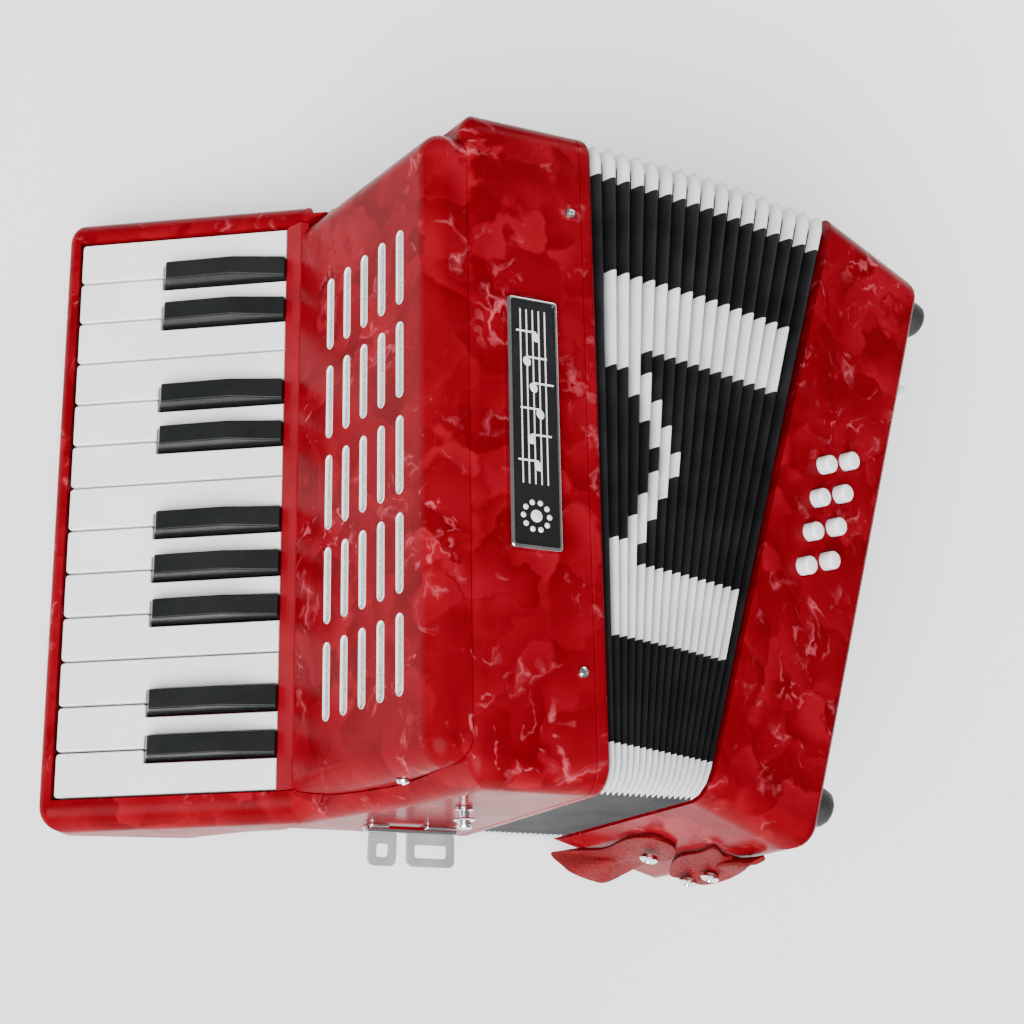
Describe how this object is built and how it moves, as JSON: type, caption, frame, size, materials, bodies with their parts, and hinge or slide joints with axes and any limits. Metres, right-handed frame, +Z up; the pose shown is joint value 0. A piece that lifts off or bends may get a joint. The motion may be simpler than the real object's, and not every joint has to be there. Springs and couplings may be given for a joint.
{
  "type": "piano accordion",
  "caption": "Small red piano accordion lying on its back, its bellows fanned open at one end, with hinged keys and sliding bass buttons.",
  "frame": {"origin": "centre of the bounding box's base, on the floor the accordion lies on", "axes": "+X from the keyboard to the bass side, +Y towards the chin end, +Z up; the accordion's front faces up, leaning 8.4 degrees towards the bass side"},
  "size_m": [0.3602, 0.2966, 0.1623],
  "materials": {
    "pearloid": "marbled pearl, polished",
    "red_lacquer": "plain, satin",
    "ivory": "polished",
    "ebony": "polished",
    "rubber": "matt",
    "black_plate": "gloss with a chrome border",
    "leather": "smooth",
    "mesh": "woven mesh",
    "wood": "satin",
    "aluminium": "cast",
    "bellows_cloth": "glossy coated cloth with white pieces",
    "chrome": "polished"
  },
  "bodies": {
    "treble": {"keyboard_frame": "pearloid", "treble_casing": "pearloid", "grille_cover": "pearloid", "grille_mesh": "mesh", "name_plate": "black_plate", "key_slot_strip": "red_lacquer", "key_axle": "chrome", "treble_foundation_plate": "wood", "treble_reed_block": "aluminium", "treble_bellows_frame": "pearloid", "bellows": "bellows_cloth", "shoulder_strap_bar": "chrome", "strap_loop_outer": "chrome", "strap_loop_inner": "chrome", "bellows_snap_stud": "chrome", "upper_strap_bracket": "chrome", "cover_screw": "chrome"},
    "bass": {"bass_bellows_frame": "pearloid", "bass_casing": "pearloid", "bass_end_plate": "pearloid", "bass_reed_block": "aluminium", "button_guide_board": "aluminium", "rubber_foot_1": "rubber", "rubber_foot_2": "rubber", "rubber_foot_3": "rubber", "rubber_foot_4": "rubber", "hand_strap": "leather", "bellows_strap_inner": "leather", "bellows_strap_outer": "leather"},
    "white_1": {"white_key_1": "ivory"},
    "white_2": {"white_key_2": "ivory"},
    "white_3": {"white_key_3": "ivory"},
    "white_4": {"white_key_4": "ivory"},
    "white_5": {"white_key_5": "ivory"},
    "white_6": {"white_key_6": "ivory"},
    "white_7": {"white_key_7": "ivory"},
    "white_8": {"white_key_8": "ivory"},
    "white_9": {"white_key_9": "ivory"},
    "white_10": {"white_key_10": "ivory"},
    "white_11": {"white_key_11": "ivory"},
    "white_12": {"white_key_12": "ivory"},
    "white_13": {"white_key_13": "ivory"},
    "black_1": {"black_key_1": "ebony"},
    "black_2": {"black_key_2": "ebony"},
    "black_3": {"black_key_3": "ebony"},
    "black_4": {"black_key_4": "ebony"},
    "black_5": {"black_key_5": "ebony"},
    "black_6": {"black_key_6": "ebony"},
    "black_7": {"black_key_7": "ebony"},
    "black_8": {"black_key_8": "ebony"},
    "black_9": {"black_key_9": "ebony"},
    "button_1": {"bass_button_1": "ivory"},
    "button_2": {"bass_button_2": "ivory"},
    "button_3": {"bass_button_3": "ivory"},
    "button_4": {"bass_button_4": "ivory"},
    "button_5": {"bass_button_5": "ivory"},
    "button_6": {"bass_button_6": "ivory"},
    "button_7": {"bass_button_7": "ivory"},
    "button_8": {"bass_button_8": "ivory"},
    "air": {"air_button": "ivory"}
  },
  "joints": [
    {"name": "bellows_fan", "type": "hinge", "parent": "treble", "child": "bass", "pos_m": [0.03709, -0.12399, 0.08329], "axis": [-0.1461, 0, -0.9893], "range_deg": [-16.8, 20], "deforming": ["bellows"]},
    {"name": "white_1_press", "type": "hinge", "parent": "treble", "child": "white_1", "pos_m": [-0.07047, 0.00501, 0.06682], "axis": [0, -1, 0], "range_deg": [0, 2.2], "stiffness_Nm_per_rad": 0.5, "springref_deg": -6.88},
    {"name": "white_2_press", "type": "hinge", "parent": "treble", "child": "white_2", "pos_m": [-0.07047, 0.00501, 0.06682], "axis": [0, -1, 0], "range_deg": [0, 2.2], "stiffness_Nm_per_rad": 0.5, "springref_deg": -6.88},
    {"name": "white_3_press", "type": "hinge", "parent": "treble", "child": "white_3", "pos_m": [-0.07047, 0.00501, 0.06682], "axis": [0, -1, 0], "range_deg": [0, 2.2], "stiffness_Nm_per_rad": 0.5, "springref_deg": -6.88},
    {"name": "white_4_press", "type": "hinge", "parent": "treble", "child": "white_4", "pos_m": [-0.07047, 0.00501, 0.06682], "axis": [0, -1, 0], "range_deg": [0, 2.2], "stiffness_Nm_per_rad": 0.5, "springref_deg": -6.88},
    {"name": "white_5_press", "type": "hinge", "parent": "treble", "child": "white_5", "pos_m": [-0.07047, 0.00501, 0.06682], "axis": [0, -1, 0], "range_deg": [0, 2.2], "stiffness_Nm_per_rad": 0.5, "springref_deg": -6.88},
    {"name": "white_6_press", "type": "hinge", "parent": "treble", "child": "white_6", "pos_m": [-0.07047, 0.00501, 0.06682], "axis": [0, -1, 0], "range_deg": [0, 2.2], "stiffness_Nm_per_rad": 0.5, "springref_deg": -6.88},
    {"name": "white_7_press", "type": "hinge", "parent": "treble", "child": "white_7", "pos_m": [-0.07047, 0.00501, 0.06682], "axis": [0, -1, 0], "range_deg": [0, 2.2], "stiffness_Nm_per_rad": 0.5, "springref_deg": -6.88},
    {"name": "white_8_press", "type": "hinge", "parent": "treble", "child": "white_8", "pos_m": [-0.07047, 0.00501, 0.06682], "axis": [0, -1, 0], "range_deg": [0, 2.2], "stiffness_Nm_per_rad": 0.5, "springref_deg": -6.88},
    {"name": "white_9_press", "type": "hinge", "parent": "treble", "child": "white_9", "pos_m": [-0.07047, 0.00501, 0.06682], "axis": [0, -1, 0], "range_deg": [0, 2.2], "stiffness_Nm_per_rad": 0.5, "springref_deg": -6.88},
    {"name": "white_10_press", "type": "hinge", "parent": "treble", "child": "white_10", "pos_m": [-0.07047, 0.00501, 0.06682], "axis": [0, -1, 0], "range_deg": [0, 2.2], "stiffness_Nm_per_rad": 0.5, "springref_deg": -6.88},
    {"name": "white_11_press", "type": "hinge", "parent": "treble", "child": "white_11", "pos_m": [-0.07047, 0.00501, 0.06682], "axis": [0, -1, 0], "range_deg": [0, 2.2], "stiffness_Nm_per_rad": 0.5, "springref_deg": -6.88},
    {"name": "white_12_press", "type": "hinge", "parent": "treble", "child": "white_12", "pos_m": [-0.07047, 0.00501, 0.06682], "axis": [0, -1, 0], "range_deg": [0, 2.2], "stiffness_Nm_per_rad": 0.5, "springref_deg": -6.88},
    {"name": "white_13_press", "type": "hinge", "parent": "treble", "child": "white_13", "pos_m": [-0.07047, 0.00501, 0.06682], "axis": [0, -1, 0], "range_deg": [0, 2.2], "stiffness_Nm_per_rad": 0.5, "springref_deg": -6.88},
    {"name": "black_1_press", "type": "hinge", "parent": "treble", "child": "black_1", "pos_m": [-0.07047, 0.00501, 0.06682], "axis": [0, -1, 0], "range_deg": [0, 2.2], "stiffness_Nm_per_rad": 0.5, "springref_deg": -6.88},
    {"name": "black_2_press", "type": "hinge", "parent": "treble", "child": "black_2", "pos_m": [-0.07047, 0.00501, 0.06682], "axis": [0, -1, 0], "range_deg": [0, 2.2], "stiffness_Nm_per_rad": 0.5, "springref_deg": -6.88},
    {"name": "black_3_press", "type": "hinge", "parent": "treble", "child": "black_3", "pos_m": [-0.07047, 0.00501, 0.06682], "axis": [0, -1, 0], "range_deg": [0, 2.2], "stiffness_Nm_per_rad": 0.5, "springref_deg": -6.88},
    {"name": "black_4_press", "type": "hinge", "parent": "treble", "child": "black_4", "pos_m": [-0.07047, 0.00501, 0.06682], "axis": [0, -1, 0], "range_deg": [0, 2.2], "stiffness_Nm_per_rad": 0.5, "springref_deg": -6.88},
    {"name": "black_5_press", "type": "hinge", "parent": "treble", "child": "black_5", "pos_m": [-0.07047, 0.00501, 0.06682], "axis": [0, -1, 0], "range_deg": [0, 2.2], "stiffness_Nm_per_rad": 0.5, "springref_deg": -6.88},
    {"name": "black_6_press", "type": "hinge", "parent": "treble", "child": "black_6", "pos_m": [-0.07047, 0.00501, 0.06682], "axis": [0, -1, 0], "range_deg": [0, 2.2], "stiffness_Nm_per_rad": 0.5, "springref_deg": -6.88},
    {"name": "black_7_press", "type": "hinge", "parent": "treble", "child": "black_7", "pos_m": [-0.07047, 0.00501, 0.06682], "axis": [0, -1, 0], "range_deg": [0, 2.2], "stiffness_Nm_per_rad": 0.5, "springref_deg": -6.88},
    {"name": "black_8_press", "type": "hinge", "parent": "treble", "child": "black_8", "pos_m": [-0.07047, 0.00501, 0.06682], "axis": [0, -1, 0], "range_deg": [0, 2.2], "stiffness_Nm_per_rad": 0.5, "springref_deg": -6.88},
    {"name": "black_9_press", "type": "hinge", "parent": "treble", "child": "black_9", "pos_m": [-0.07047, 0.00501, 0.06682], "axis": [0, -1, 0], "range_deg": [0, 2.2], "stiffness_Nm_per_rad": 0.5, "springref_deg": -6.88},
    {"name": "button_1_press", "type": "slide", "parent": "bass", "child": "button_1", "axis": [-0.3969, 0.0782, -0.9145], "range_m": [0, 0.004], "stiffness_N_per_m": 150, "springref_m": -0.003},
    {"name": "button_2_press", "type": "slide", "parent": "bass", "child": "button_2", "axis": [-0.3969, 0.0782, -0.9145], "range_m": [0, 0.004], "stiffness_N_per_m": 150, "springref_m": -0.003},
    {"name": "button_3_press", "type": "slide", "parent": "bass", "child": "button_3", "axis": [-0.3969, 0.0782, -0.9145], "range_m": [0, 0.004], "stiffness_N_per_m": 150, "springref_m": -0.003},
    {"name": "button_4_press", "type": "slide", "parent": "bass", "child": "button_4", "axis": [-0.3969, 0.0782, -0.9145], "range_m": [0, 0.004], "stiffness_N_per_m": 150, "springref_m": -0.003},
    {"name": "button_5_press", "type": "slide", "parent": "bass", "child": "button_5", "axis": [-0.3969, 0.0782, -0.9145], "range_m": [0, 0.004], "stiffness_N_per_m": 150, "springref_m": -0.003},
    {"name": "button_6_press", "type": "slide", "parent": "bass", "child": "button_6", "axis": [-0.3969, 0.0782, -0.9145], "range_m": [0, 0.004], "stiffness_N_per_m": 150, "springref_m": -0.003},
    {"name": "button_7_press", "type": "slide", "parent": "bass", "child": "button_7", "axis": [-0.3969, 0.0782, -0.9145], "range_m": [0, 0.004], "stiffness_N_per_m": 150, "springref_m": -0.003},
    {"name": "button_8_press", "type": "slide", "parent": "bass", "child": "button_8", "axis": [-0.3969, 0.0782, -0.9145], "range_m": [0, 0.004], "stiffness_N_per_m": 150, "springref_m": -0.003},
    {"name": "air_button_press", "type": "slide", "parent": "bass", "child": "air", "axis": [-0.947, 0.289, 0.1398], "range_m": [0, 0.004], "stiffness_N_per_m": 150, "springref_m": -0.003}
  ]
}
